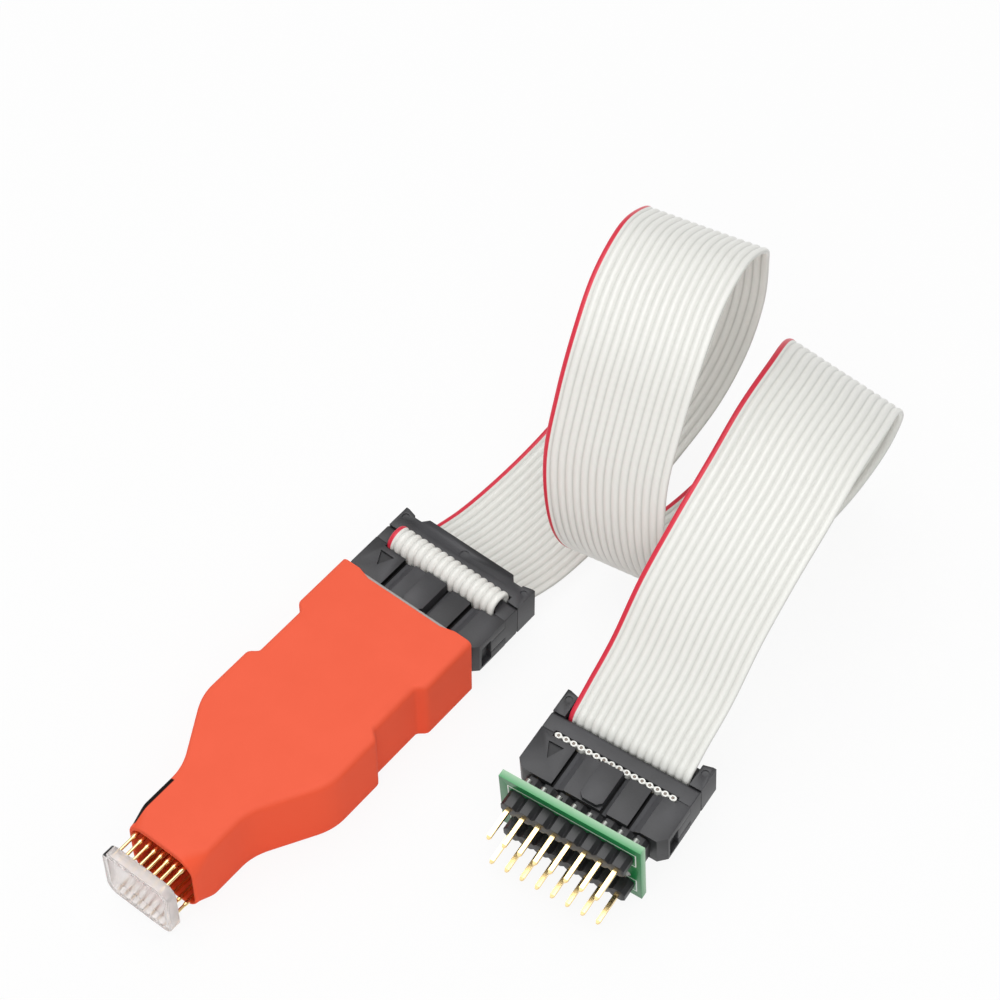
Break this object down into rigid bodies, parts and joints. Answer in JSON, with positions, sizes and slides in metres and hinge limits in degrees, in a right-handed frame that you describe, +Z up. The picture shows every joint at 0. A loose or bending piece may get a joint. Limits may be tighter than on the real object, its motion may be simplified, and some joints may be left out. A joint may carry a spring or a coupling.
{
  "type": "chip programming probe",
  "caption": "Hand-held spring-pin probe for a wide surface-mount chip: soft tapered sleeve, sliding clear guide, flat ribbon lead and a pin-strip adapter board.",
  "frame": {"origin": "bottom centre of the probe with its plug, without the free ribbon, plug B and adapter, on the table", "axes": "+X along the handle from the chip end to the ribbon, +Z up, +Y to the side of the red first strand"},
  "size_m": [0.1275, 0.0662, 0.0521],
  "materials": {
    "sleeve_rubber": "matte",
    "collar_grey": "satin",
    "black_plastic": "satin",
    "plug_plastic": "satin",
    "gold": "polished",
    "spring_steel": "polished",
    "tinned_lead": "satin",
    "board_green": "gloss",
    "clear_acrylic": "gloss",
    "ribbon_vinyl": "satin"
  },
  "bodies": {
    "handle": {"handle_sleeve": "sleeve_rubber", "rear_collar": "collar_grey", "header_base": "black_plastic", "header_pins": "gold", "probe_board": "board_green", "pin_block_front": "black_plastic", "pin_block_rear": "black_plastic", "pogo_barrels": "gold", "tail_leads": "tinned_lead", "spring_01": "spring_steel", "spring_02": "spring_steel", "spring_03": "spring_steel", "spring_04": "spring_steel", "spring_05": "spring_steel", "spring_06": "spring_steel", "spring_07": "spring_steel", "spring_08": "spring_steel", "spring_09": "spring_steel", "spring_10": "spring_steel", "spring_11": "spring_steel", "spring_12": "spring_steel", "spring_13": "spring_steel", "spring_14": "spring_steel", "spring_15": "spring_steel", "spring_16": "spring_steel"},
    "guide": {"clear_guide": "clear_acrylic"},
    "pin_01": {"plunger_01": "gold"},
    "pin_02": {"plunger_02": "gold"},
    "pin_03": {"plunger_03": "gold"},
    "pin_04": {"plunger_04": "gold"},
    "pin_05": {"plunger_05": "gold"},
    "pin_06": {"plunger_06": "gold"},
    "pin_07": {"plunger_07": "gold"},
    "pin_08": {"plunger_08": "gold"},
    "pin_09": {"plunger_09": "gold"},
    "pin_10": {"plunger_10": "gold"},
    "pin_11": {"plunger_11": "gold"},
    "pin_12": {"plunger_12": "gold"},
    "pin_13": {"plunger_13": "gold"},
    "pin_14": {"plunger_14": "gold"},
    "pin_15": {"plunger_15": "gold"},
    "pin_16": {"plunger_16": "gold"},
    "cable": {"plug_a_body": "plug_plastic", "plug_a_contacts": "gold", "plug_a_cover": "plug_plastic", "plug_a_relief": "plug_plastic", "ribbon_fold_a": "ribbon_vinyl", "ribbon_cable": "ribbon_vinyl", "ribbon_fold_b": "ribbon_vinyl", "plug_b_body": "plug_plastic", "plug_b_contacts": "gold", "plug_b_cover": "plug_plastic", "plug_b_relief": "plug_plastic"},
    "adapter": {"adapter_board": "board_green", "adapter_header_base": "black_plastic", "adapter_header_pins": "gold", "upper_strip_base": "black_plastic", "upper_strip_pins": "gold", "lower_strip_base": "black_plastic", "lower_strip_pins": "gold"}
  },
  "joints": [
    {"name": "guide_slide", "type": "slide", "parent": "handle", "child": "guide", "axis": [1, 0, 0], "range_m": [0, 0.0023]},
    {"name": "pin_01_slide", "type": "slide", "parent": "handle", "child": "pin_01", "axis": [1, 0, 0], "range_m": [0, 0.0026], "stiffness_N_per_m": 370, "springref_m": -0.0005, "deforming": ["spring_01"]},
    {"name": "pin_02_slide", "type": "slide", "parent": "handle", "child": "pin_02", "axis": [1, 0, 0], "range_m": [0, 0.0026], "stiffness_N_per_m": 370, "springref_m": -0.0005, "deforming": ["spring_02"]},
    {"name": "pin_03_slide", "type": "slide", "parent": "handle", "child": "pin_03", "axis": [1, 0, 0], "range_m": [0, 0.0026], "stiffness_N_per_m": 370, "springref_m": -0.0005, "deforming": ["spring_03"]},
    {"name": "pin_04_slide", "type": "slide", "parent": "handle", "child": "pin_04", "axis": [1, 0, 0], "range_m": [0, 0.0026], "stiffness_N_per_m": 370, "springref_m": -0.0005, "deforming": ["spring_04"]},
    {"name": "pin_05_slide", "type": "slide", "parent": "handle", "child": "pin_05", "axis": [1, 0, 0], "range_m": [0, 0.0026], "stiffness_N_per_m": 370, "springref_m": -0.0005, "deforming": ["spring_05"]},
    {"name": "pin_06_slide", "type": "slide", "parent": "handle", "child": "pin_06", "axis": [1, 0, 0], "range_m": [0, 0.0026], "stiffness_N_per_m": 370, "springref_m": -0.0005, "deforming": ["spring_06"]},
    {"name": "pin_07_slide", "type": "slide", "parent": "handle", "child": "pin_07", "axis": [1, 0, 0], "range_m": [0, 0.0026], "stiffness_N_per_m": 370, "springref_m": -0.0005, "deforming": ["spring_07"]},
    {"name": "pin_08_slide", "type": "slide", "parent": "handle", "child": "pin_08", "axis": [1, 0, 0], "range_m": [0, 0.0026], "stiffness_N_per_m": 370, "springref_m": -0.0005, "deforming": ["spring_08"]},
    {"name": "pin_09_slide", "type": "slide", "parent": "handle", "child": "pin_09", "axis": [1, 0, 0], "range_m": [0, 0.0026], "stiffness_N_per_m": 370, "springref_m": -0.0005, "deforming": ["spring_09"]},
    {"name": "pin_10_slide", "type": "slide", "parent": "handle", "child": "pin_10", "axis": [1, 0, 0], "range_m": [0, 0.0026], "stiffness_N_per_m": 370, "springref_m": -0.0005, "deforming": ["spring_10"]},
    {"name": "pin_11_slide", "type": "slide", "parent": "handle", "child": "pin_11", "axis": [1, 0, 0], "range_m": [0, 0.0026], "stiffness_N_per_m": 370, "springref_m": -0.0005, "deforming": ["spring_11"]},
    {"name": "pin_12_slide", "type": "slide", "parent": "handle", "child": "pin_12", "axis": [1, 0, 0], "range_m": [0, 0.0026], "stiffness_N_per_m": 370, "springref_m": -0.0005, "deforming": ["spring_12"]},
    {"name": "pin_13_slide", "type": "slide", "parent": "handle", "child": "pin_13", "axis": [1, 0, 0], "range_m": [0, 0.0026], "stiffness_N_per_m": 370, "springref_m": -0.0005, "deforming": ["spring_13"]},
    {"name": "pin_14_slide", "type": "slide", "parent": "handle", "child": "pin_14", "axis": [1, 0, 0], "range_m": [0, 0.0026], "stiffness_N_per_m": 370, "springref_m": -0.0005, "deforming": ["spring_14"]},
    {"name": "pin_15_slide", "type": "slide", "parent": "handle", "child": "pin_15", "axis": [1, 0, 0], "range_m": [0, 0.0026], "stiffness_N_per_m": 370, "springref_m": -0.0005, "deforming": ["spring_15"]},
    {"name": "pin_16_slide", "type": "slide", "parent": "handle", "child": "pin_16", "axis": [1, 0, 0], "range_m": [0, 0.0026], "stiffness_N_per_m": 370, "springref_m": -0.0005, "deforming": ["spring_16"]},
    {"name": "plug_a_slide", "type": "slide", "parent": "handle", "child": "cable", "axis": [1, 0, 0], "range_m": [0, 0.0062]},
    {"name": "adapter_slide", "type": "slide", "parent": "cable", "child": "adapter", "axis": [-0.9908, -0.0989, -0.0924], "range_m": [0, 0.0062]}
  ]
}
